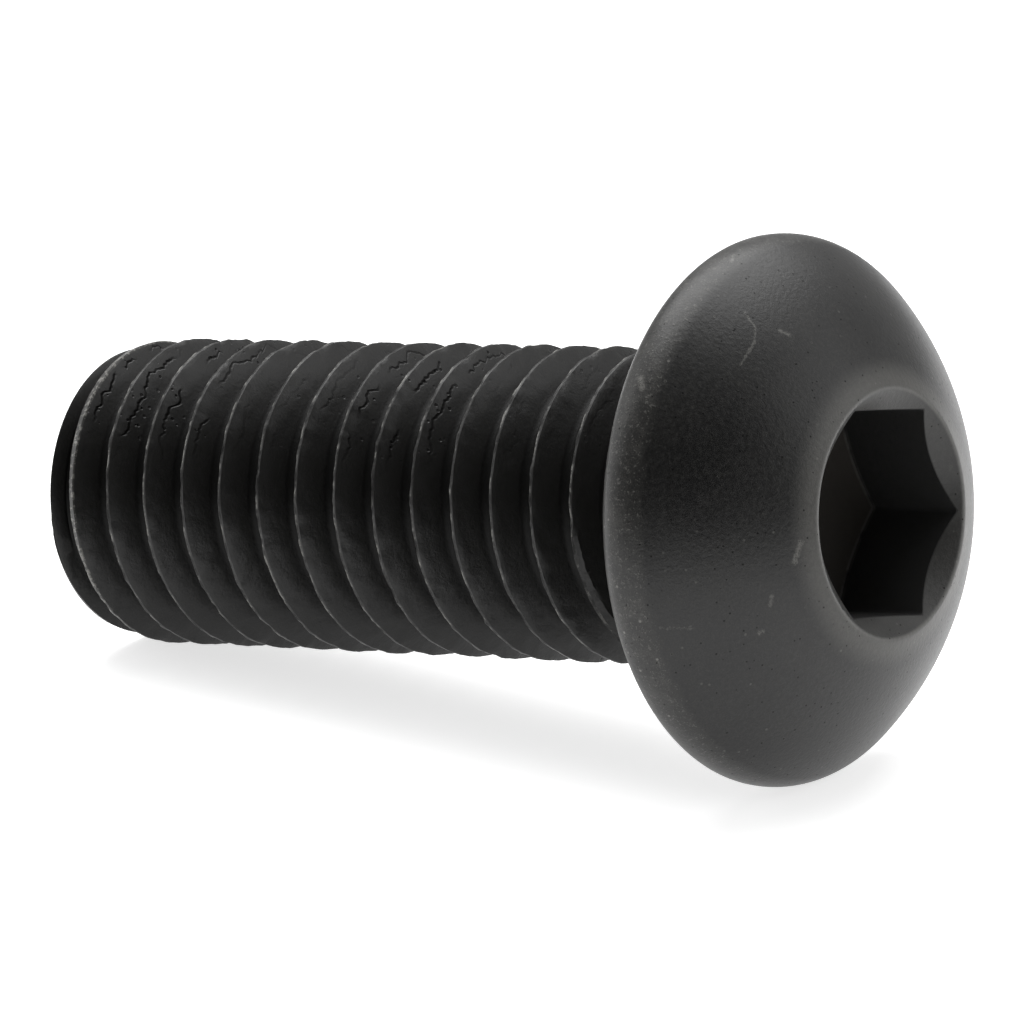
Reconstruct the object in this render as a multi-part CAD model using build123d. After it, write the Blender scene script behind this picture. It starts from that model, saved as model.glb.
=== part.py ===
from build123d import *
import math
import os

# Button head screw, M8 x 1.25, nominal length 20 mm, formed in one piece.
# It is built upright, with its axis on Z, the bearing face of the head at Z = 0 and the
# head above it. It is then laid on its side, where it rests on the rim of its head and on
# the first whole crest behind its chamfered point. Lengths are in millimetres and angles in degrees.

# Thread, right-hand
pitch = 1.25
crest_radius = 3.98
root_radius = 3.26
flank_angle = 30.0
crest_land = pitch / 8
shank_length = 20.1
point_radius = 3.6
point_chamfer = 0.75

# The crests run out on a cone at the foot of the neck
neck_radius = 3.42
neck_length = 2.0
run_out_length = 0.565
neck_flare = 0.45

# Head, as high as the edge of its socket's mouth. One arc rounds the rim, from the bearing
# face past the widest circle to the dome.
head_radius = 6.84
head_height = 4.0
rim_round = 1.2
dome_radius = 8.45

# Hexagon socket, with a countersunk mouth and a conical floor
across_flats = 5.05
socket_depth = 2.65
floor_angle = 140.0
mouth_radius = 3.07
mouth_angle = 104.0
socket_turn = 18.7

# Middle of the dome's arc, and height of the widest circle, where the dome meets the rim
dome_centre = head_height - math.sqrt(dome_radius**2 - mouth_radius**2)
rim_centre_radius = head_radius - rim_round
rim_height = dome_centre + math.sqrt((dome_radius - rim_round) ** 2 - rim_centre_radius**2)

# Cutters for the groove of the thread, one for each turn. They start below the point, end
# above the foot of the neck and stand proud of the crests.
groove_start = -21.9
groove_turns = 17
cutter_proud = 0.06

# The joint lines of the shank's and the head's surfaces lie clear of the groove's start and
# of the line on which the screw rests
shank_joint_turn = 50.0
head_joint_turn = 2.22

# The laid screw: turns of the helix up to the crest that touches the floor, and the middle
# of the whole, measured along the floor from the middle of the bearing face
turns_to_contact = 2.5
middle_to_head = 7.978


def head_section():
    """Half section of the head: bearing face, rounded rim and dome."""
    rim_start = -math.degrees(math.asin(rim_height / rim_round))
    rim_end = math.degrees(math.atan2(rim_height - dome_centre, rim_centre_radius))
    pole = 90.0
    bearing_radius = rim_centre_radius + math.sqrt(rim_round**2 - rim_height**2)
    with BuildSketch(Plane.XZ) as section:
        with BuildLine():
            Line((0, 0), (bearing_radius, 0))
            CenterArc((rim_centre_radius, rim_height), rim_round, rim_start, rim_end - rim_start)
            CenterArc((0, dome_centre), dome_radius, rim_end, pole - rim_end)
            Line((0, dome_centre + dome_radius), (0, 0))
        make_face()
    return section.sketch


def neck_section():
    """Half section of the neck, which flares out under the head."""
    core = head_height / 2
    flare_radius = neck_radius + neck_flare
    with BuildSketch(Plane.XZ) as section:
        with BuildLine():
            Bezier((flare_radius, 0), (neck_radius, 0), (neck_radius, -neck_flare))
            Polyline(
                (neck_radius, -neck_flare),
                (neck_radius, -neck_length),
                (0, -neck_length),
                (0, core),
                (flare_radius, core),
                (flare_radius, 0),
            )
        make_face()
    return section.sketch


def shank_section():
    """Half section of the shank before threading: chamfered point, crests and run-out."""
    with BuildSketch(Plane.XZ) as section:
        with BuildLine():
            Polyline(
                (0, -shank_length),
                (point_radius, -shank_length),
                (crest_radius, -shank_length + point_chamfer),
                (crest_radius, -neck_length - run_out_length),
                (neck_radius, -neck_length),
                (0, -neck_length),
                close=True,
            )
        make_face()
    return section.sketch


def groove_cutters():
    """Bars of one turn each, end to end on the helix, with the section of the groove."""
    slope = math.tan(math.radians(flank_angle))
    mouth_half = (pitch - crest_land) / 2 + cutter_proud * slope
    root_half = (pitch - crest_land) / 2 - (crest_radius - root_radius) * slope
    outer = crest_radius + cutter_proud
    with BuildSketch(Plane.XZ) as section:
        with BuildLine():
            Polyline(
                (root_radius, -root_half),
                (outer, -mouth_half),
                (outer, mouth_half),
                (root_radius, root_half),
                close=True,
            )
        make_face()
    bar = sweep(section.sketch, path=Helix(pitch, pitch, root_radius), is_frenet=True)
    return [Pos(0, 0, groove_start + pitch * turn) * bar for turn in range(groove_turns)]


def socket_cutter():
    """Hexagon well, its countersunk mouth and its conical floor."""
    corner_radius = across_flats / math.sqrt(3)
    floor = head_height - socket_depth
    floor_drop = corner_radius / math.tan(math.radians(floor_angle / 2))
    hexagon = RegularPolygon(corner_radius, 6, rotation=socket_turn)
    well = extrude(Plane.XY.offset(floor) * hexagon, head_height)
    column = extrude(Plane.XY.offset(floor - floor_drop) * hexagon, head_height)
    floor_cone = Pos(0, 0, floor - floor_drop / 2) * Cone(0, corner_radius, floor_drop)
    mouth_slope = math.tan(math.radians(mouth_angle / 2))
    mouth_tip = head_height - mouth_radius / mouth_slope
    mouth_cone = Pos(0, 0, mouth_tip + head_height / 2) * Cone(
        0, head_height * mouth_slope, head_height
    )
    return well + (floor_cone & column) + mouth_cone


def resting_place():
    """Place of the screw when its rim and the first whole crest of its thread touch a floor."""
    crest_edge = groove_start + turns_to_contact * pitch - crest_land / 2
    run = rim_height - crest_edge
    drop = rim_centre_radius - crest_radius
    tilt = math.atan2(drop, run) + math.asin(rim_round / math.hypot(run, drop))
    head_above_floor = (
        rim_round + rim_centre_radius * math.cos(tilt) - rim_height * math.sin(tilt)
    )
    return Location((middle_to_head, 0, head_above_floor), (0, 90 - math.degrees(tilt), 0))


def screw():
    """The whole screw, laid on its side."""
    shank = Rot(0, 0, shank_joint_turn) * revolve(shank_section(), Axis.Z) - groove_cutters()
    head = revolve(head_section(), Axis.Z) + revolve(neck_section(), Axis.Z)
    head = Rot(0, 0, head_joint_turn) * head - socket_cutter()
    return resting_place() * (shank + head)


os.makedirs("parts", exist_ok=True)
export_step(screw(), "parts/screw.step")
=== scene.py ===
import math

import bmesh
import bpy
from mathutils import Matrix, Vector


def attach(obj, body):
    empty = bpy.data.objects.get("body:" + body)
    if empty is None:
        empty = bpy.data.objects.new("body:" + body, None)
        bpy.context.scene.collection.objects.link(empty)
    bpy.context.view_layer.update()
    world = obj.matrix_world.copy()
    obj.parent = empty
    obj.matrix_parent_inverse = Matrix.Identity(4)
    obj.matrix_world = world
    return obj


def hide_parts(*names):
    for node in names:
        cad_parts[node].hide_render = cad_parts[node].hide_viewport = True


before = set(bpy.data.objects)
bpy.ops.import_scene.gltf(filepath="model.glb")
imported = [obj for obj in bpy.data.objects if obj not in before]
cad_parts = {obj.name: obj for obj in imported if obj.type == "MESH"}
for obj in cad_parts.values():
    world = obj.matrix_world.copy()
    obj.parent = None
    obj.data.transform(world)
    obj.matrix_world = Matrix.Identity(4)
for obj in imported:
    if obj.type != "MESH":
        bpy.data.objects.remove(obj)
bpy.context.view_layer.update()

bl_info = {
    "name": "Button head screw",
    "version": (1, 0, 0),
    "blender": (4, 5, 0),
    "location": "View3D > Sidebar > Screw",
    "description": "Models a laid button head screw with a black oxide finish and lights it",
    "category": "Object",
}

# Shapes are modelled upright in millimetres, with the bearing face at height 0 and the head
# above it, and are then laid on the floor and brought to metres.
MM = 1000.0
FULL_TURN = 2 * math.pi
SMOOTH_ANGLE = math.radians(24)


# ---------------------------------------------------------------- sizes and colours


def length(label, words, millimetres):
    """A length that the user can change. It is shown in scene units."""
    return bpy.props.FloatProperty(
        name=label, description=words, default=millimetres / MM, unit="LENGTH", precision=5
    )


def angle(label, words, degrees):
    """An angle that the user can change."""
    return bpy.props.FloatProperty(
        name=label, description=words, default=math.radians(degrees), subtype="ANGLE"
    )


def colour(label, words, value):
    """A colour that the user can change."""
    return bpy.props.FloatVectorProperty(
        name=label, description=words, default=value, subtype="COLOR", size=3, min=0, max=1
    )


def share(label, words, value):
    """A number from 0 to 1 that the user can change."""
    return bpy.props.FloatProperty(
        name=label, description=words, default=value, subtype="FACTOR", min=0, max=1
    )


def power(label, words, watts):
    """A lamp's power that the user can change."""
    return bpy.props.FloatProperty(
        name=label, description=words, default=watts, unit="POWER", min=0
    )


class ScrewSizes(bpy.types.PropertyGroup):
    """Sizes of the screw."""

    pitch: length("Pitch", "Rise of the thread in one turn", 1.25)
    crest_radius: length("Crest radius", "Radius over the crests of the thread", 3.98)
    root_radius: length("Root radius", "Radius at the root of the thread", 3.26)
    crest_land: length("Crest land", "Width of the flat on a crest", 0.095)
    root_round: length("Root round", "How far the corners of the root are rounded", 0.1)
    crest_round: length("Crest round", "How far the corners of a crest are rounded", 0.012)
    groove_start: length("Groove start", "Height of a groove's middle on the X axis", -21.9)
    shank_length: length("Length", "From the bearing face to the point", 20.1)
    point_radius: length("Point radius", "Radius of the flat end", 3.7)
    point_chamfer: length("Point chamfer", "Height of the chamfer at the point", 1.1)
    neck_radius: length("Neck radius", "Radius of the plain neck under the head", 3.42)
    neck_length: length("Neck length", "From the bearing face to the thread's run-out", 2.0)
    run_out: length("Run-out", "Height over which the crests fade", 0.86)
    under_round: length("Under round", "Rounding of the rim into the bearing face", 0.6)
    neck_flare: length("Neck flare", "Rounding of the neck into the bearing face", 0.45)
    head_radius: length("Head radius", "Radius of the head at its widest", 6.84)
    head_height: length("Head height", "From the bearing face to the socket's mouth", 4.0)
    rim_round: length("Rim round", "Radius that rounds the rim", 1.2)
    dome_radius: length("Dome radius", "Radius of the domed top", 8.45)
    mouth_radius: length("Mouth radius", "Radius of the socket's round mouth", 3.07)
    mouth_round: length("Mouth round", "Rounding of the mouth's edge", 0.1)
    mouth_angle: angle("Mouth angle", "Full angle of the countersunk mouth", 104)
    across_flats: length("Across flats", "Width of the hexagon", 5.05)
    corner_round: length("Corner round", "Rounding of the hexagon's upright edges", 0.07)
    socket_depth: length("Socket depth", "From the mouth to the corners of the floor", 2.65)
    floor_angle: angle("Floor angle", "Full angle of the conical floor", 140)
    socket_turn: angle("Socket turn", "Turn of a hexagon corner from the X axis", 18.7)
    tilt: angle("Tilt", "Rise of the axis when the screw lies on the floor", 8.365753)
    lay_along: length("Lay along", "Middle of the bearing face along the floor", 7.978)
    lay_height: length("Lay height", "Middle of the bearing face above the floor", 6.680624)


class OxideFinish(bpy.types.PropertyGroup):
    """Colours of the black oxide finish and its wear, and of the painted highlight on the crests,
    the painted sheen round the mouth and the painted shade in the roots.
    """

    oxide: colour("Oxide", "Black oxide on the head", (0.0036, 0.0035, 0.0034))
    groove_oxide: colour("Groove oxide", "Black oxide in the thread", (0.0102, 0.0099, 0.0093))
    # Rubbed colour, which is also painted on the crests as a highlight
    rubbed: colour("Rubbed", "Oxide rubbed thin on crests and edges", (0.095, 0.093, 0.088))
    bare: colour("Bare", "Bright steel in scratches and nicks", (0.42, 0.41, 0.38))
    # Dust colour, which is also painted round the mouth as a sheen
    dust: colour("Dust", "Pale dust on the rim and round the mouth", (0.085, 0.083, 0.077))
    # Lap colour, which is also the painted shade in the roots of the thread
    lap: colour("Lap", "Dark folds, pits and roots of the thread", (0.0015, 0.0014, 0.0012))
    oiled: colour("Oiled", "Oily walls of the socket", (0.03, 0.0297, 0.0292))
    residue: colour("Residue", "Brown residue on the socket's floor", (0.034, 0.0305, 0.027))
    roughness: share("Roughness", "Roughness of the oxide", 0.385)
    gloss: share("Gloss", "Specular level of the oxide", 0.42)
    dull_roughness: share("Dull roughness", "Roughness of the dark places", 0.5)
    dull_gloss: share("Dull gloss", "Specular level of the dark places", 0.1)
    relief: share("Relief", "Strength of the fine bumps", 0.6)
    # Crest shine scales the rubbed colour on the crests, which is partly wear and partly a painted
    # highlight
    crest_shine: share("Crest shine", "How much the rubbed crests show", 0.85)
    rim_dust: share("Rim dust", "How much dust shows on the rim", 0.46)
    mark_shine: share("Mark shine", "How much scratches and dents show", 0.4)
    fold_depth: share("Folds", "How much the folds beside the crests show", 0.8)
    # Roots: painted shade that darkens the roots of the thread
    root_depth: share("Roots", "How dark the roots of the thread are", 0.85)
    pinhole_depth: share("Pinholes", "How dark the pinholes of the head are", 0.8)


class StudioStage(bpy.types.PropertyGroup):
    """Camera, lamps and floor."""

    aim: bpy.props.FloatVectorProperty(
        name="Aim",
        description="Point that the camera looks at",
        default=(0.00308701, -0.00373239, 0.00662026),
        subtype="TRANSLATION",
        unit="LENGTH",
        size=3,
        precision=5,
    )
    distance: length("Distance", "From the camera to the point it looks at", 211.8107)
    elevation: angle("Elevation", "Height of the camera above the horizon", 16.149)
    side: angle("Side", "Turn of the camera from the screw's head", 52.815)
    lens: bpy.props.FloatProperty(
        name="Lens",
        description="Focal length in millimetres on a 36 mm sensor",
        default=301.088,
        unit="CAMERA",
        min=1,
    )
    floor: colour("Floor", "Pale floor", (0.78, 0.78, 0.78))
    floor_glow: share("Floor glow", "Lightness added to the floor where it is seen", 0.7)
    world: colour("World", "Even light from all round", (0.9, 0.9, 0.9))
    world_strength: share("World strength", "Strength of the even light", 0.56)
    dim_side: share("Dim side", "How much dimmer the even light is behind the camera", 0.82)
    top_power: power("Top lamp", "Power of the lamp above and behind", 1.35)
    left_power: power("Left lamp", "Power of the lamp at the point's side", 0.2)
    right_power: power("Right lamp", "Power of the lamp at the head's side", 0.22)


class UprightSizes:
    """The screw's sizes with lengths in millimetres and angles in radians."""

    def __init__(self, settings):
        for name in ScrewSizes.__annotations__:
            is_length = settings.bl_rna.properties[name].unit == "LENGTH"
            setattr(self, name, getattr(settings, name) * (MM if is_length else 1))

        # Point and neck end of the thread, with the slopes that its crests fade along
        self.point_height = -self.shank_length
        self.first_crest_top = self.point_height + 1.2
        self.chamfer_slope = (self.crest_radius - self.point_radius) / self.point_chamfer
        self.neck_end = -self.neck_length
        self.foot_radius = self.neck_radius - 0.02
        self.fade_slope = (self.crest_radius - self.foot_radius) / self.run_out

        # Socket
        self.floor_height = self.head_height - self.socket_depth
        self.floor_slope = 1 / math.tan(self.floor_angle / 2)
        self.corner_radius = self.across_flats / math.sqrt(3)

        # Turn from upright to lying, and the middle of the bearing face then
        self.turn = Matrix.Rotation(math.pi / 2 - self.tilt, 4, "Y")
        self.middle = Vector((self.lay_along, 0, self.lay_height))


# ---------------------------------------------------------------- modelling helpers


def deselect():
    """Leaves edit mode and takes everything out of the selection."""
    if bpy.context.object and bpy.context.object.mode != "OBJECT":
        bpy.ops.object.mode_set(mode="OBJECT")
    bpy.ops.object.select_all(action="DESELECT")


def hold(piece):
    """Makes a piece the only selected one and the active one."""
    deselect()
    piece.select_set(True)
    bpy.context.view_layer.objects.active = piece


def apply_all(piece):
    """Applies the piece's modifiers in their order."""
    hold(piece)
    for modifier in list(piece.modifiers):
        bpy.ops.object.modifier_apply(modifier=modifier.name)


def pick(piece, kind, test):
    """In edit mode, selects the verts or edges that pass the test. One at least has to."""
    bpy.ops.mesh.select_mode(type={"verts": "VERT", "edges": "EDGE"}[kind])
    bpy.ops.mesh.select_all(action="DESELECT")
    mesh = bmesh.from_edit_mesh(piece.data)
    found = [item for item in getattr(mesh, kind) if test(item)]
    for item in found:
        item.select_set(True)
    bmesh.update_edit_mesh(piece.data)
    if not found:
        raise RuntimeError(f"no {kind} of {piece.name} were found")


def tidy_shell(piece):
    """Merges doubles and turns the faces outwards."""
    merge_distance = 0.0002
    hold(piece)
    bpy.ops.object.mode_set(mode="EDIT")
    bpy.ops.mesh.select_all(action="SELECT")
    bpy.ops.mesh.remove_doubles(threshold=merge_distance)
    bpy.ops.mesh.normals_make_consistent(inside=False)
    bpy.ops.object.mode_set(mode="OBJECT")


def check_closed(piece):
    """Stops the script when the piece's surface has a hole or a loose edge."""
    mesh = bmesh.new()
    mesh.from_mesh(piece.data)
    open_edges = sum(1 for edge in mesh.edges if len(edge.link_faces) != 2)
    faces = len(mesh.faces)
    volume = mesh.calc_volume()
    mesh.free()
    print(piece.name, "faces", faces, "open edges", open_edges, "volume", round(volume, 2))
    if open_edges or volume <= 0:
        raise RuntimeError(f"{piece.name} is not a closed shell: {open_edges} open edges")


def roughen(piece, name, inner_radius, grain_size, depth, level):
    """Pushes what lies outside a radius in and out by a fixed cloud pattern."""
    outside = [
        vert.index
        for vert in piece.data.vertices
        if math.hypot(vert.co.x, vert.co.y) > inner_radius
    ]
    piece.vertex_groups.new(name=name).add(outside, 1.0, "REPLACE")
    clouds = bpy.data.textures.new(name, "CLOUDS")
    clouds.noise_scale = grain_size
    clouds.noise_depth = 3
    clouds.contrast = 1.6
    modifier = piece.modifiers.new(name, "DISPLACE")
    modifier.texture = clouds
    modifier.texture_coords = "LOCAL"
    modifier.vertex_group = name
    modifier.strength = depth
    modifier.mid_level = level
    apply_all(piece)


def combine(piece, other, operation):
    """Joins, cuts or trims the piece by the other one, which is then deleted."""
    modifier = piece.modifiers.new("combine", "BOOLEAN")
    modifier.operation = operation
    modifier.solver = "MANIFOLD"
    modifier.object = other
    apply_all(piece)
    bpy.data.objects.remove(other, do_unlink=True)
    check_closed(piece)


class Outline:
    """A half section in the XZ plane, drawn by extruding its last vertex."""

    def __init__(self, name, x, z):
        deselect()
        bpy.ops.mesh.primitive_plane_add(size=1, location=(0, 0, 0))
        self.piece = bpy.context.object
        self.piece.name = name
        bpy.ops.object.mode_set(mode="EDIT")
        bpy.ops.mesh.merge(type="CENTER")
        bpy.ops.transform.translate(value=(x, 0, z))
        self.at = Vector((x, z))

    def line_to(self, x, z, parts=1):
        """Draws a straight line, in equal parts."""
        step = (Vector((x, z)) - self.at) / parts
        for _ in range(parts):
            bpy.ops.mesh.extrude_region_move(TRANSFORM_OT_translate={"value": (step.x, 0, step.y)})
        self.at = Vector((x, z))

    def arc(self, centre_x, centre_z, sweep, steps):
        """Draws an arc round a centre, counter-clockwise when the sweep is positive."""
        centre = Vector((centre_x, centre_z))
        bpy.ops.mesh.spin(
            steps=steps, angle=sweep, center=(centre_x, 0, centre_z), axis=(0, 1, 0)
        )
        arm = self.at - centre
        self.at = centre + Vector(
            (
                arm.x * math.cos(sweep) - arm.y * math.sin(sweep),
                arm.x * math.sin(sweep) + arm.y * math.cos(sweep),
            )
        )

    def round_corner(self, x, z, width, steps):
        """Rounds the corner at a place. All lines are drawn before."""
        near = 0.002
        pick(self.piece, "verts", lambda vert: math.hypot(vert.co.x - x, vert.co.z - z) < near)
        bpy.ops.mesh.bevel(offset=width, segments=steps, affect="VERTICES", profile=0.5)

    def spin_round(self, steps):
        """Turns the section into a closed shell round the Z axis."""
        bpy.ops.mesh.select_all(action="SELECT")
        bpy.ops.mesh.spin(steps=steps, angle=FULL_TURN, center=(0, 0, 0), axis=(0, 0, 1))
        tidy_shell(self.piece)
        return self.piece


# ---------------------------------------------------------------- the screw's shape


def make_thread(size):
    """Long thread of full crests, cut flat at the point and above the foot of the neck."""
    flank_slope = math.tan(math.radians(30))
    flank_parts = 6
    turns, steps_in_turn = 17, 180
    pitch, crest, root = size.pitch, size.crest_radius, size.root_radius
    half_land = size.crest_land / 2
    flank = (crest - root) * flank_slope
    low = size.groove_start - pitch / 2
    high = low + pitch
    thread = Outline("thread", crest, low)
    thread.line_to(crest, low + half_land)
    thread.line_to(root, low + half_land + flank, flank_parts)
    thread.line_to(root, high - half_land - flank)
    thread.line_to(crest, high - half_land, flank_parts)
    thread.line_to(crest, high)
    for height in (low + half_land, high - half_land):
        thread.round_corner(crest, height, size.crest_round, steps=2)
    for height in (low + half_land + flank, high - half_land - flank):
        thread.round_corner(root, height, size.root_round, steps=3)
    piece = thread.piece
    hold(piece)
    winding = piece.modifiers.new("winding", "SCREW")
    winding.axis = "Z"
    winding.angle = FULL_TURN
    winding.screw_offset = pitch
    winding.iterations = turns
    winding.steps = winding.render_steps = steps_in_turn
    winding.use_merge_vertices = False
    apply_all(piece)
    tidy_shell(piece)
    crest_edge, flank_foot = crest - 0.06, root + 0.25
    roughen(piece, "crests", crest_edge, grain_size=0.45, depth=0.055, level=0.62)
    roughen(piece, "flanks", flank_foot, grain_size=0.25, depth=0.03, level=0.5)

    # The upper cut stands inside the neck
    upper_cut = size.neck_end + 0.15
    hold(piece)
    bpy.ops.object.mode_set(mode="EDIT")
    for height, below in ((size.point_height, True), (upper_cut, False)):
        bpy.ops.mesh.select_all(action="SELECT")
        bpy.ops.mesh.bisect(
            plane_co=(0, 0, height),
            plane_no=(0, 0, 1),
            clear_inner=below,
            clear_outer=not below,
            use_fill=True,
            threshold=0.00001,
        )
    tidy_shell(piece)
    check_closed(piece)
    return piece


def make_envelope(size):
    """Solid that trims the crests at the chamfered point and at the run-out."""
    # How far it stands past the crests, the point and the end of the neck
    proud, below, above = 0.3, 0.5, 0.3
    outer = size.crest_radius + proud
    point, end = size.point_radius, size.point_height
    foot, foot_height = size.foot_radius, size.neck_end
    envelope = Outline("envelope", 0, end - below)
    envelope.line_to(point - below * size.chamfer_slope, end - below)
    envelope.line_to(outer, end + (outer - point) / size.chamfer_slope)
    envelope.line_to(outer, foot_height - (outer - foot) / size.fade_slope)
    envelope.line_to(foot - above * size.fade_slope, foot_height + above)
    envelope.line_to(0, foot_height + above)
    return envelope.spin_round(steps=240)


def make_stub(size):
    """Plug with a thin lip, which fills the groove where the thread fades at the point."""
    lip, end = size.point_radius, size.point_height
    height = 0.5
    corners = (
        (lip - 0.06, end),
        (lip, end + 0.05),
        (lip - 0.04, end + 0.09),
        (lip - 0.4, end + 0.25),
        (lip - 0.5, end + height),
        (0, end + height),
    )
    stub = Outline("stub", 0, end)
    for corner in corners:
        stub.line_to(*corner)
    return stub.spin_round(steps=180)


def make_head(size):
    """Head and neck, with the countersunk mouth."""
    head, rim, dome = size.head_radius, size.rim_round, size.dome_radius
    neck, flare = size.neck_radius, size.neck_flare
    mouth, top = size.mouth_radius, size.head_height
    dome_centre = top - math.sqrt(dome**2 - mouth**2)
    rim_centre = head - rim
    rim_height = dome_centre + math.sqrt((dome - rim) ** 2 - rim_centre**2)
    under = size.under_round
    under_centre = rim_centre + math.sqrt((rim - under) ** 2 - (rim_height - under) ** 2)
    rim_start = math.atan2(under - rim_height, under_centre - rim_centre)
    rim_end = math.atan2(rim_height - dome_centre, rim_centre)
    dome_end = math.acos(mouth / dome)
    mouth_tip = top - mouth / math.tan(size.mouth_angle / 2)
    section = Outline("head", 0, size.neck_end)
    section.line_to(neck, size.neck_end)
    section.line_to(neck, -flare, parts=6)
    section.line_to(neck, 0)
    section.line_to(under_centre, 0, parts=6)
    section.arc(under_centre, under, rim_start + math.pi / 2, steps=12)
    section.arc(rim_centre, rim_height, rim_end - rim_start, steps=16)
    section.arc(0, dome_centre, dome_end - rim_end, steps=34)
    section.line_to(0, mouth_tip, parts=8)
    section.round_corner(neck, 0, flare, steps=6)
    section.round_corner(mouth, top, size.mouth_round, steps=4)
    piece = section.spin_round(steps=288)
    check_closed(piece)
    return piece


def make_punch(size):
    """Hexagon column with a conical end, which cuts the key's socket."""
    corner, slope = size.corner_radius, size.floor_slope
    sides = 6
    spare = 1.0
    high = size.head_height + spare

    # The round bar has the conical end, and trims the column, which is longer
    bar_radius, bar_top = corner + 0.3, high - 0.5
    tip = size.floor_height - corner * slope
    section = Outline("punch", 0, tip)
    section.line_to(bar_radius, tip + bar_radius * slope)
    section.line_to(bar_radius, bar_top)
    section.line_to(0, bar_top)
    punch = section.spin_round(steps=240)
    deselect()
    bpy.ops.mesh.primitive_cylinder_add(
        vertices=sides,
        radius=corner,
        depth=high - tip + spare,
        location=(0, 0, (high + tip) / 2),
        rotation=(0, 0, size.socket_turn - FULL_TURN / sides / 2),
    )
    column = bpy.context.object
    bpy.ops.object.transform_apply(location=True, rotation=True, scale=True)
    bpy.ops.object.mode_set(mode="EDIT")
    pick(column, "edges", lambda edge: abs(edge.verts[0].co.z - edge.verts[1].co.z) > spare)
    bpy.ops.mesh.bevel(offset=size.corner_round, segments=3, affect="EDGES")
    tidy_shell(column)
    combine(column, punch, "INTERSECT")
    column.name = "punch"
    return column


def lay_down(piece, size):
    """Lays the upright piece on the floor, in metres, with its place in its mesh."""
    place = Matrix.Translation(size.middle / MM)
    piece.matrix_world = place @ size.turn @ Matrix.Scale(1 / MM, 4)
    hold(piece)
    bpy.ops.object.transform_apply(location=True, rotation=True, scale=True)


# ---------------------------------------------------------------- shader helpers


class Wire:
    """A socket that can be used in an expression. Each operation adds its Math node."""

    def __init__(self, paint, socket):
        self.paint = paint
        self.socket = socket

    def __add__(self, other):
        return self.paint.maths("ADD", self, other)

    __radd__ = __add__

    def __sub__(self, other):
        return self.paint.maths("SUBTRACT", self, other)

    def __rsub__(self, other):
        return self.paint.maths("SUBTRACT", other, self)

    def __mul__(self, other):
        return self.paint.maths("MULTIPLY", self, other)

    __rmul__ = __mul__

    def __truediv__(self, other):
        return self.paint.maths("DIVIDE", self, other)

    def __rtruediv__(self, other):
        return self.paint.maths("DIVIDE", other, self)

    def __pow__(self, other):
        return self.paint.maths("POWER", self, other)

    def __abs__(self):
        return self.paint.maths("ABSOLUTE", self)

    def fraction(self):
        """What is left past the whole number."""
        return self.paint.maths("FRACT", self)

    def least(self, other):
        """The smaller of two."""
        return self.paint.maths("MINIMUM", self, other)

    def most(self, other):
        """The larger of two."""
        return self.paint.maths("MAXIMUM", self, other)

    def rise(self, low, high):
        """Goes smoothly from 0 at low to 1 at high, or down when low is the larger."""
        return self.paint.node(
            "ShaderNodeMapRange",
            {"interpolation_type": "SMOOTHSTEP"},
            {"Value": self, "From Min": low, "From Max": high, "To Min": 0.0, "To Max": 1.0},
        )


class Paint:
    """Adds nodes to a material or a world."""

    # Places of the outputs and sockets that are reached by number
    OBJECT_PLACE = 3
    MIXED_COLOUR = 2
    FACTOR, FIRST_COLOUR, SECOND_COLOUR = 0, 6, 7

    def __init__(self, owner):
        owner.use_nodes = True
        self.tree = owner.node_tree
        self.tree.nodes.clear()

    def node(self, kind, settings=None, sockets=None, output=0):
        """Adds a node with its settings and the values or links of its sockets."""
        made = self.tree.nodes.new(kind)
        for name, value in (settings or {}).items():
            setattr(made, name, value)
        for name, value in (sockets or {}).items():
            if isinstance(value, Wire):
                self.tree.links.new(value.socket, made.inputs[name])
            else:
                made.inputs[name].default_value = value
        return Wire(self, made.outputs[output]) if made.outputs else None

    def beside(self, wire, output):
        """Another output of the node that a wire comes from."""
        return Wire(self, wire.socket.node.outputs[output])

    def maths(self, operation, *values):
        """One Math node."""
        return self.node("ShaderNodeMath", {"operation": operation}, dict(enumerate(values)))

    def mix(self, factor, first, second):
        """Blends two colours."""
        return self.node(
            "ShaderNodeMix",
            {"data_type": "RGBA", "clamp_factor": True},
            {self.FACTOR: factor, self.FIRST_COLOUR: first, self.SECOND_COLOUR: second},
            self.MIXED_COLOUR,
        )

    def noise(self, place, scale, detail, rough):
        """Soft noise, with its detail in octaves."""
        return self.node(
            "ShaderNodeTexNoise",
            {},
            {"Vector": place, "Scale": scale, "Detail": detail, "Roughness": rough},
        )

    def cells(self, place, scale):
        """Distance to the nearest cell's middle, and that cell's own colour."""
        far = self.node("ShaderNodeTexVoronoi", {}, {"Vector": place, "Scale": scale})
        return far, self.beside(far, 1)

    def parts(self, place):
        """The three numbers of a place."""
        first = self.node("ShaderNodeSeparateXYZ", {}, {"Vector": place})
        return first, self.beside(first, 1), self.beside(first, 2)


def solid(value):
    """A colour with its alpha."""
    return (*value, 1.0)


def strongest(first, *others):
    """The largest of several wires at each point."""
    for other in others:
        first = first.most(other)
    return first


# ---------------------------------------------------------------- finish of the screw

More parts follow.
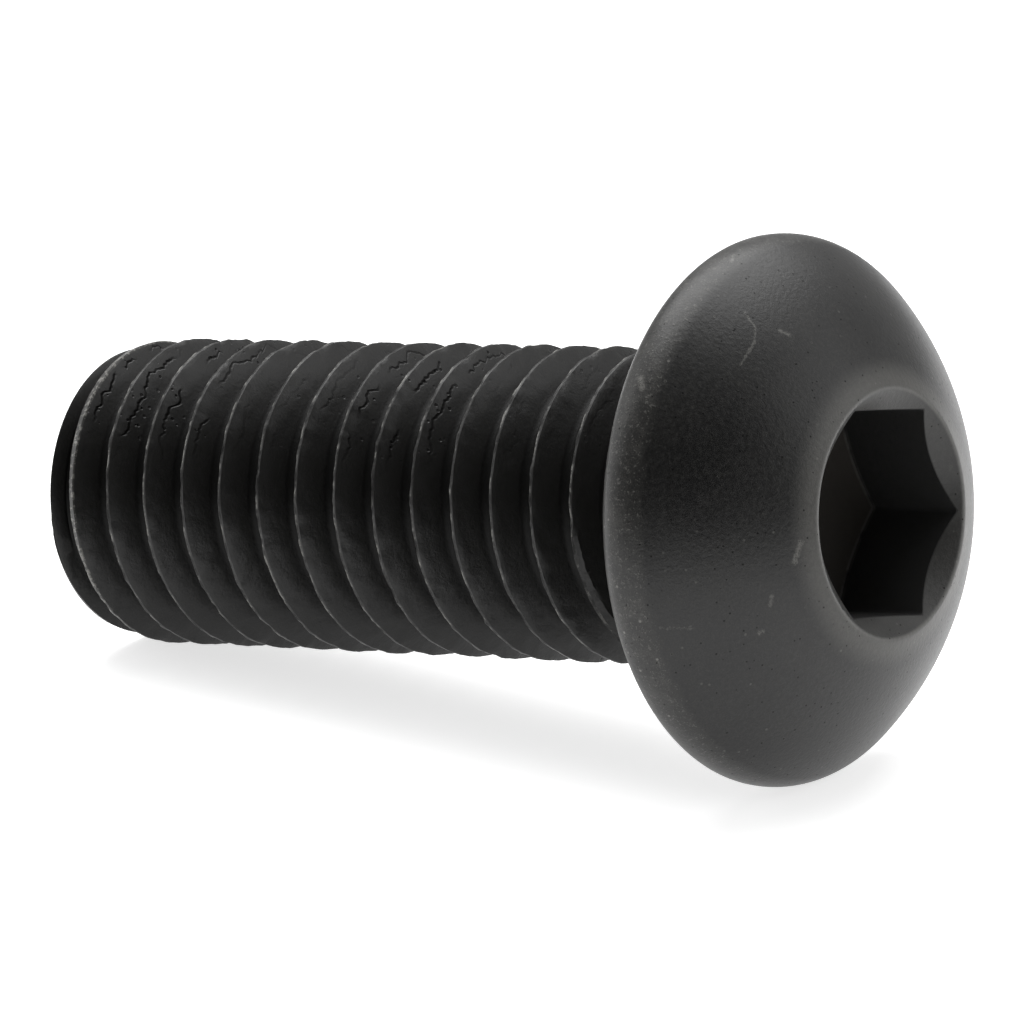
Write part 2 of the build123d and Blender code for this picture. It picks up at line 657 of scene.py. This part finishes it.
# Worn marks: both ends and the half width in millimetres, and the strength
MARKS = (
    ((-5.52, -2.46, 2.03), (-5.16, -2.49, 2.33), 0.022, 0.45),
    ((-5.16, -2.49, 2.33), (-4.86, -2.75, 2.47), 0.022, 0.5),
    ((-4.86, -2.75, 2.47), (-4.42, -3.42, 2.46), 0.022, 0.45),
    ((-4.96, -1.97, 2.68), (-4.82, -1.78, 2.83), 0.035, 0.5),
    ((-0.08, -3.57, 3.78), (0.34, -3.78, 3.68), 0.05, 0.6),
    ((1.10, -4.32, 3.30), (1.29, -4.36, 3.25), 0.04, 0.5),
    ((-6.68, -1.26, 0.99), (-6.57, -1.55, 1.14), 0.03, 0.5),
    ((1.93, -4.50, 3.01), (1.95, -4.53, 2.99), 0.045, 0.8),
    ((-4.43, -5.20, 0.75), (-4.25, -5.33, 0.90), 0.06, 0.7),
    ((1.43, -6.41, 1.43), (1.55, -5.83, 2.03), 0.02, 0.3),
    ((-3.72, -1.41, -3.41), (-3.62, -1.64, -4.44), 0.02, 0.5),
)


class Spot:
    """Where a shaded point lies on the upright screw, in millimetres, and its patterns."""

    def __init__(self, paint, size):
        to_upright = size.turn.inverted()
        place = paint.node(
            "ShaderNodeMapping",
            {},
            {
                "Vector": paint.node("ShaderNodeTexCoord", {}, {}, paint.OBJECT_PLACE),
                "Rotation": tuple(to_upright.to_euler()),
                "Scale": (MM, MM, MM),
                "Location": tuple(-(to_upright @ size.middle)),
            },
        )
        self.x, self.y, self.z = paint.parts(place)
        self.radius = (self.x * self.x + self.y * self.y) ** 0.5

        # How far along the axis the point is from the middle of the nearest crest. Whole turns
        # are added to keep the count above 0.
        whole_turns = 40
        turned = paint.maths("ARCTAN2", self.y, self.x) / FULL_TURN
        turns = (self.z - size.groove_start) / size.pitch - turned + whole_turns
        self.off_crest = (turns.fraction() - 0.5) * size.pitch

        # A place on that crest, so that a pattern there is the same all over both its flanks
        ring_radius = 3.7
        crest_place = paint.node(
            "ShaderNodeCombineXYZ",
            {},
            {
                "X": self.x * ring_radius / self.radius,
                "Y": self.y * ring_radius / self.radius,
                "Z": self.z - self.off_crest,
            },
        )

        # Noises from broad to fine, and two that run along the crests
        self.broad = paint.noise(place, scale=0.6, detail=0.0, rough=0.5)
        self.patchy = paint.noise(place, scale=2.3, detail=1.0, rough=0.6)
        self.sharp = paint.noise(place, scale=5.5, detail=2.0, rough=0.7)
        self.fine = paint.noise(place, scale=9.0, detail=2.0, rough=0.7)
        self.grain = paint.noise(place, scale=26.0, detail=1.0, rough=0.6)
        self.runs = paint.noise(crest_place, scale=0.8, detail=1.0, rough=0.5)
        self.ragged = paint.noise(crest_place, scale=1.1, detail=3.0, rough=0.6)

        # Cells for pits, pinholes and specks, and the numbers that decide which of them show
        self.cell_far, cell_colour = paint.cells(place, scale=6.0)
        self.cell_chance, self.speck_chance, _ = paint.parts(cell_colour)

        # How far a crest's worn edge strays from its line
        self.wander = (self.sharp - 0.5) * 0.09 + (self.patchy - 0.5) * 0.06

        self.on_shank = self.z.rise(size.neck_end + 0.1, size.neck_end - 0.1)
        self.on_head = 1 - self.on_shank


def crest_wear_and_highlight(at, size):
    """How worn the thread is, and the dull, rubbed and bright parts of the crests' edge, whose
    light line is partly wear and partly a painted highlight.
    """
    crest, low = size.crest_radius, size.first_crest_top
    wear = (at.patchy * 0.7 + at.fine * 0.45).rise(0.42, 0.78)
    # Painted highlight and wear: the light line sits on the edge of each crest on the point's
    # side, which faces the lamp there
    edge = (abs(at.off_crest + 0.025) + at.wander).rise(0.05, 0.02)
    edge = edge * at.radius.rise(crest - 0.16, crest - 0.08)
    edge = edge * at.on_shank * (1 - at.z.rise(low + 0.1, low - 0.1))
    rubbed = edge * (0.08 + 0.75 * wear)
    # Bright specks on that line, partly bare steel and partly a painted highlight
    bright = edge * (at.sharp * 0.6 + at.patchy * 0.7).rise(0.66, 0.79)
    return wear, edge * (1 - wear), rubbed, bright


def first_crest(at, size):
    """The first crest, flattened by the chamfer, and its bright specks."""
    end, top = size.point_height, size.first_crest_top
    chamfer_radius = size.point_radius + (at.z - end) * size.chamfer_slope
    across = at.off_crest + at.wander
    first = abs(at.radius - chamfer_radius).rise(0.07, 0.02)
    first = first * at.z.rise(top + 0.1, top - 0.1) * at.z.rise(end + 0.3, end + 0.42)
    first = first * across.rise(-0.14, -0.04) * across.rise(0.22, 0.14)
    return first, first * (at.sharp * 0.7 + at.fine * 0.5).rise(0.6, 0.7)


def last_crest(at, size, wear):
    """The last crest, flattened where it runs out."""
    end = size.neck_end
    fade_radius = size.foot_radius - (at.z - end) * size.fade_slope
    last = abs(at.radius - fade_radius).rise(0.05, 0.015)
    last = last * at.z.rise(end - 1.05, end - 0.95) * at.z.rise(end - 0.1, end - 0.3)
    return last * (0.4 + 0.6 * wear)


def folds_and_pits(at, depth):
    """Folds of rolled metal beside the crests, their raised side, and pits next to them."""
    # The upper side as the screw lies, turned a little towards the camera
    up_x, up_y = -0.96, -0.28
    upwards = (at.x * up_x + at.y * up_y) / at.radius
    upper, lower = upwards.rise(0.62, 0.84), upwards.rise(-0.8, -0.95)
    near_point = at.z.rise(-14.2, -16.4)
    mid_part = at.z.rise(-12.0, -10.6) * at.z.rise(-6.5, -8.0)
    folded = (upper * (near_point + mid_part * 0.6 + 0.15) + lower * 0.5).least(1.0)
    folded = folded * at.runs.rise(0.43, 0.54) * at.on_shank
    off_fold = at.off_crest - 0.2 - (at.ragged - 0.5) * 0.5
    fold = abs(off_fold).rise(0.014 + 0.03 * at.fine, 0.005) * folded * depth
    ledge = off_fold.rise(0.02, -0.02) * folded
    pits = at.cell_far.rise(0.34, 0.2) * at.cell_chance.rise(0.74, 0.8) * folded
    pits = pits * (at.off_crest.rise(0.02, 0.12) * at.off_crest.rise(0.45, 0.3))
    return fold, ledge, pits


def socket_parts(at, size):
    """Inside of the hexagon, its floor and the floor's rubbed edge."""
    half_flats = size.across_flats / 2
    pairs_of_walls = 3
    reaches = []
    for pair in range(pairs_of_walls):
        facing = size.socket_turn + math.pi / pairs_of_walls * (pair + 0.5)
        reaches.append(abs(at.x * math.cos(facing) + at.y * math.sin(facing)))
    flats = strongest(*reaches)
    inside = flats.rise(half_flats + 0.03, half_flats + 0.008) * at.z.rise(0.0, 0.1)
    over_floor = at.z - size.floor_height + (size.corner_radius - at.radius) * size.floor_slope
    on_floor = over_floor.rise(0.05, 0.02) * flats.rise(half_flats - 0.01, half_flats - 0.05)
    edge = over_floor.rise(0.1, 0.05) * flats.rise(half_flats - 0.09, half_flats - 0.04)
    edge = edge * inside * (at.patchy + at.fine * 0.4).rise(0.4, 0.75)
    return inside, on_floor, edge


def mouth_parts(at, size, in_socket):
    """The countersunk cone, the mouth's edge and the lighter band round it, which is a painted
    sheen.
    """
    mouth, top = size.mouth_radius, size.head_height
    outside = 1 - in_socket
    cone = at.radius.rise(mouth + 0.02, mouth - 0.06) * at.z.rise(top - 0.8, top - 0.65) * outside
    edge = abs(at.radius - mouth).rise(0.06, 0.02) * at.z.rise(top - 0.2, top - 0.1)
    # Painted sheen: a lighter band round the mouth, in the dust colour
    mouth_band_sheen = at.radius.rise(mouth + 0.85, mouth + 0.15) * at.z.rise(top - 0.8, top - 0.6)
    return cone, edge, mouth_band_sheen * (1 - cone) * outside


def rim_parts(at, size):
    """The rim, with the dust and the light scuffs on it."""
    low = size.head_radius - 0.34
    upper_edge = (at.z + (at.patchy - 0.5) * 0.3).rise(1.42, 1.18)
    rim = at.radius.rise(low, low + 0.12) * upper_edge * at.on_head
    dusty = rim * (0.3 + 0.7 * (at.patchy * 0.5 + at.grain * 0.5).rise(0.4, 0.7))
    return rim, dusty, rim * (at.fine * 0.75 + at.grain * 0.5).rise(0.7, 0.8)


def worn_marks(at, shine):
    """Scratches and small dents, as broken strokes between two places."""
    marks = []
    for begin, end, width, strength in MARKS:
        span = [last - first for first, last in zip(begin, end)]
        square = sum(part * part for part in span)
        off = (at.x - begin[0], at.y - begin[1], at.z - begin[2])
        along = (off[0] * span[0] + off[1] * span[1] + off[2] * span[2]) / square
        along = along.most(0.0).least(1.0)
        left = [part - along * whole for part, whole in zip(off, span)]
        far = (left[0] * left[0] + left[1] * left[1] + left[2] * left[2]) ** 0.5
        stroke = (far + (at.fine - 0.5) * 0.2).rise(width * 2.2, width * 0.2)
        marks.append(stroke * strength * shine)
    broken = 0.25 + 0.75 * (at.sharp * 0.5 + at.grain * 0.5).rise(0.38, 0.56)
    return strongest(*marks) * broken


def make_finish(size, finish):
    """Black oxide with crests that are partly rubbed and partly painted with a highlight, folds
    beside them, painted shade in the roots, a painted sheen round the mouth, a dusty rim and a
    dark socket.
    """
    material = bpy.data.materials.new("black_oxide")
    paint = Paint(material)
    at = Spot(paint, size)
    wear, dull_crest, rubbed, bright = crest_wear_and_highlight(at, size)
    first, first_bright = first_crest(at, size)
    last = last_crest(at, size, wear)
    fold, ledge, pits = folds_and_pits(at, finish.fold_depth)
    in_socket, on_floor, floor_edge = socket_parts(at, size)
    cone, mouth_edge, mouth_band_sheen = mouth_parts(at, size, in_socket)
    rim, dusty, scuffed = rim_parts(at, size)
    marks = worn_marks(at, finish.mark_shine)
    # Painted shade: the roots of the thread are darkened and dulled, as shade falls in them
    root = at.radius.rise(size.root_radius + 0.13, size.root_radius + 0.05) * at.on_shank
    specks = at.cell_far.rise(0.3, 0.12) * at.speck_chance.rise(0.93, 0.97)
    pinholes = at.cell_far.rise(0.2, 0.1) * at.cell_chance.rise(0.72, 0.8) * at.on_head

    # Light marks, each with how much bare steel shows in it. The bright specks on the crests are
    # partly a painted highlight.
    light_marks = strongest(
        bright * 0.5,
        first_bright * 0.5,
        marks,
        mouth_edge * 0.04,
        specks * (0.12 * at.on_head + 0.3 * rim),
        scuffed * 0.14,
    )

    # Layers over the oxide, each with how much it covers
    mottle = (at.broad * 0.55 + at.patchy * 0.35 + at.fine * 0.3).rise(0.4, 0.85)
    haze = mottle * 0.06 + (at.fine * at.grain).rise(0.16, 0.42) * 0.115
    layers = (
        (at.on_shank, finish.groove_oxide),
        (haze * at.on_head, finish.dust),
        # Painted sheen round the mouth
        (mouth_band_sheen * (0.42 + 0.5 * at.fine + 0.25 * at.grain), finish.dust),
        (cone * (0.19 + 0.12 * at.patchy), finish.dust),
        (dusty * finish.rim_dust, finish.dust),
        (first * 0.5 + last * 0.12, finish.rubbed),
        # Rubbed crests, partly wear and partly a painted highlight
        (rubbed * finish.crest_shine, finish.rubbed),
        (light_marks, finish.bare),
    )
    oxide_colour = solid(finish.oxide)
    for cover, tint in layers:
        oxide_colour = paint.mix(cover, oxide_colour, solid(tint))

    # Relief of grain, folds and pits, with how deep a height of 1 is in metres
    height = at.fine * 0.45 + ledge * 0.9 - fold * 1.1 - pits * 1.6
    depth = 0.00003
    bump = paint.node(
        "ShaderNodeBump", {}, {"Strength": finish.relief, "Distance": depth, "Height": height}
    )

    # The fine noise spreads the roughness evenly to both sides of its value
    spread = 0.16
    oxide = paint.node(
        "ShaderNodeBsdfPrincipled",
        {},
        {
            "Base Color": oxide_colour,
            "Roughness": (finish.roughness - spread / 2) + at.fine * spread,
            "Specular IOR Level": finish.gloss,
            "Normal": bump,
        },
    )

    # Dull and dark places, each with how much of the oxide's gloss it takes away. The darkness of
    # the roots is painted shade.
    hollow = strongest(
        (fold + pits).least(1.0),
        pinholes * finish.pinhole_depth,
        root * finish.root_depth,
        last * 0.5,
        dull_crest * 0.6,
    )
    dark_colour = paint.mix(in_socket, solid(finish.lap), solid(finish.oiled))
    dark_colour = paint.mix(on_floor * in_socket, dark_colour, solid(finish.residue))
    dark_colour = paint.mix(floor_edge * 0.4, dark_colour, solid(finish.rubbed))
    dark = paint.node(
        "ShaderNodeBsdfPrincipled",
        {},
        {
            "Base Color": dark_colour,
            "Roughness": finish.dull_roughness,
            "Specular IOR Level": finish.dull_gloss,
            "Normal": bump,
        },
    )
    is_dark = in_socket.most(hollow)
    shader = paint.node("ShaderNodeMixShader", {}, {0: is_dark, 1: oxide, 2: dark})
    paint.node("ShaderNodeOutputMaterial", {}, {"Surface": shader})
    return material


# ---------------------------------------------------------------- stage

FLOOR_WIDTH = 3.0
SENSOR_WIDTH = 36
LAMP_TARGET = Vector((0, 0, 0.006))

# Name, place, width and height in metres, and the setting that holds the power
LAMPS = (
    ("lamp_top", (-0.07, 0.1, 0.3), 0.4, 0.3, "top_power"),
    ("lamp_left", (-0.28, -0.12, 0.14), 0.25, 0.25, "left_power"),
    ("lamp_right", (0.26, 0.16, 0.14), 0.25, 0.25, "right_power"),
)


def add_lamp(name, place, width, height, watts):
    """A soft rectangular lamp turned towards the middle of the screw."""
    data = bpy.data.lights.new(name, "AREA")
    data.shape = "RECTANGLE"
    data.size, data.size_y = width, height
    data.energy = watts
    lamp = bpy.data.objects.new(name, data)
    bpy.context.scene.collection.objects.link(lamp)
    lamp.location = place
    lamp.rotation_euler = (LAMP_TARGET - Vector(place)).to_track_quat("-Z", "Y").to_euler()


def make_world(stage):
    """Even light from all round, dimmer on the side where the camera stands."""
    world = bpy.data.worlds.new("even_light")
    paint = Paint(world)
    direction = paint.node("ShaderNodeTexCoord", {}, {}, paint.OBJECT_PLACE)
    x, y, z = paint.parts(direction)
    across = x * math.cos(stage.side) - y * math.sin(stage.side)
    dim = across.rise(-0.05, 0.5) * z.rise(1.0, 0.72)
    strength = stage.world_strength * (1 - dim * stage.dim_side)
    light = paint.node(
        "ShaderNodeBackground", {}, {"Color": solid(stage.world), "Strength": strength}
    )
    paint.node("ShaderNodeOutputWorld", {}, {"Surface": light})
    return world


def make_floor_finish(stage):
    """Pale matt floor, shown a little lighter where it is seen, with the shadow kept."""
    material = bpy.data.materials.new("pale_floor")
    paint = Paint(material)
    matt = paint.node("ShaderNodeBsdfDiffuse", {}, {"Color": solid(stage.floor)})
    seen = paint.node("ShaderNodeLightPath")
    gloss = paint.beside(seen, "Is Glossy Ray")
    through = paint.beside(seen, "Is Transmission Ray")
    strength = seen.most(gloss).most(through) * stage.floor_glow
    glow = paint.node("ShaderNodeEmission", {}, {"Color": solid((1, 1, 1)), "Strength": strength})
    both = paint.node("ShaderNodeAddShader", {}, {0: matt, 1: glow})
    paint.node("ShaderNodeOutputMaterial", {}, {"Surface": both})
    return material


def add_camera(stage):
    """Camera on its side of the screw, level, turned towards its aim."""
    elevation, side = stage.elevation, stage.side
    towards = Vector(
        (
            math.cos(elevation) * math.cos(side),
            -math.cos(elevation) * math.sin(side),
            math.sin(elevation),
        )
    )
    right = Vector((math.sin(side), math.cos(side), 0))
    up = towards.cross(right)
    data = bpy.data.cameras.new("camera")
    data.lens = stage.lens
    data.sensor_width = SENSOR_WIDTH
    data.clip_start = 0.01
    camera = bpy.data.objects.new("camera", data)
    bpy.context.scene.collection.objects.link(camera)
    place = Matrix.Translation(Vector(stage.aim) + towards * stage.distance)
    camera.matrix_world = place @ Matrix((right, up, towards)).transposed().to_4x4()
    return camera


# ---------------------------------------------------------------- operators


class SCREW_OT_button_head(bpy.types.Operator):
    """Models the whole screw and gives it its black oxide finish"""

    bl_idname = "screw.button_head"
    bl_label = "Button head screw"
    bl_options = {"REGISTER", "UNDO"}

    def execute(self, context):
        size = UprightSizes(context.scene.screw_sizes)
        screw = make_thread(size)
        combine(screw, make_envelope(size), "INTERSECT")
        combine(screw, make_stub(size), "UNION")
        head = make_head(size)
        combine(head, make_punch(size), "DIFFERENCE")
        combine(screw, head, "UNION")
        screw.name = screw.data.name = "button_head_screw"
        lay_down(screw, size)
        hold(screw)
        bpy.ops.object.shade_smooth_by_angle(angle=SMOOTH_ANGLE)
        screw.data.materials.clear()
        screw.data.materials.append(make_finish(size, context.scene.oxide_finish))
        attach(screw, "root")
        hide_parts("screw")
        return {"FINISHED"}


class SCREW_OT_studio_stage(bpy.types.Operator):
    """Adds the pale floor, the soft lamps and the camera"""

    bl_idname = "screw.studio_stage"
    bl_label = "Studio stage"
    bl_options = {"REGISTER", "UNDO"}

    def execute(self, context):
        scene = context.scene
        stage = scene.studio_stage
        scene.view_settings.view_transform = "Standard"
        deselect()
        bpy.ops.mesh.primitive_plane_add(size=FLOOR_WIDTH, location=(0, 0, 0))
        floor = context.object
        floor.name = "floor"
        floor.data.materials.append(make_floor_finish(stage))
        scene.world = make_world(stage)
        for name, place, width, height, setting in LAMPS:
            add_lamp(name, place, width, height, getattr(stage, setting))
        scene.camera = add_camera(stage)
        return {"FINISHED"}


class SCREW_PT_panel(bpy.types.Panel):
    """Lists the screw's operators and settings"""

    bl_idname = "SCREW_PT_panel"
    bl_label = "Button head screw"
    bl_space_type = "VIEW_3D"
    bl_region_type = "UI"
    bl_category = "Screw"

    def draw(self, context):
        layout = self.layout
        scene = context.scene
        for settings in (scene.screw_sizes, scene.oxide_finish, scene.studio_stage):
            column = layout.column(align=True)
            for name in type(settings).__annotations__:
                column.prop(settings, name)
        layout.operator(SCREW_OT_button_head.bl_idname)
        layout.operator(SCREW_OT_studio_stage.bl_idname)


CLASSES = (
    ScrewSizes,
    OxideFinish,
    StudioStage,
    SCREW_OT_button_head,
    SCREW_OT_studio_stage,
    SCREW_PT_panel,
)


def register():
    """Adds the classes and hangs their settings on the scene."""
    for cls in CLASSES:
        bpy.utils.register_class(cls)
    bpy.types.Scene.screw_sizes = bpy.props.PointerProperty(type=ScrewSizes)
    bpy.types.Scene.oxide_finish = bpy.props.PointerProperty(type=OxideFinish)
    bpy.types.Scene.studio_stage = bpy.props.PointerProperty(type=StudioStage)


def unregister():
    """Takes the settings and the classes away again."""
    del bpy.types.Scene.screw_sizes
    del bpy.types.Scene.oxide_finish
    del bpy.types.Scene.studio_stage
    for cls in reversed(CLASSES):
        bpy.utils.unregister_class(cls)


def main():
    """Makes the screw and its stage."""
    register()
    bpy.ops.screw.button_head()
    bpy.ops.screw.studio_stage()


if __name__ == "__main__":
    main()
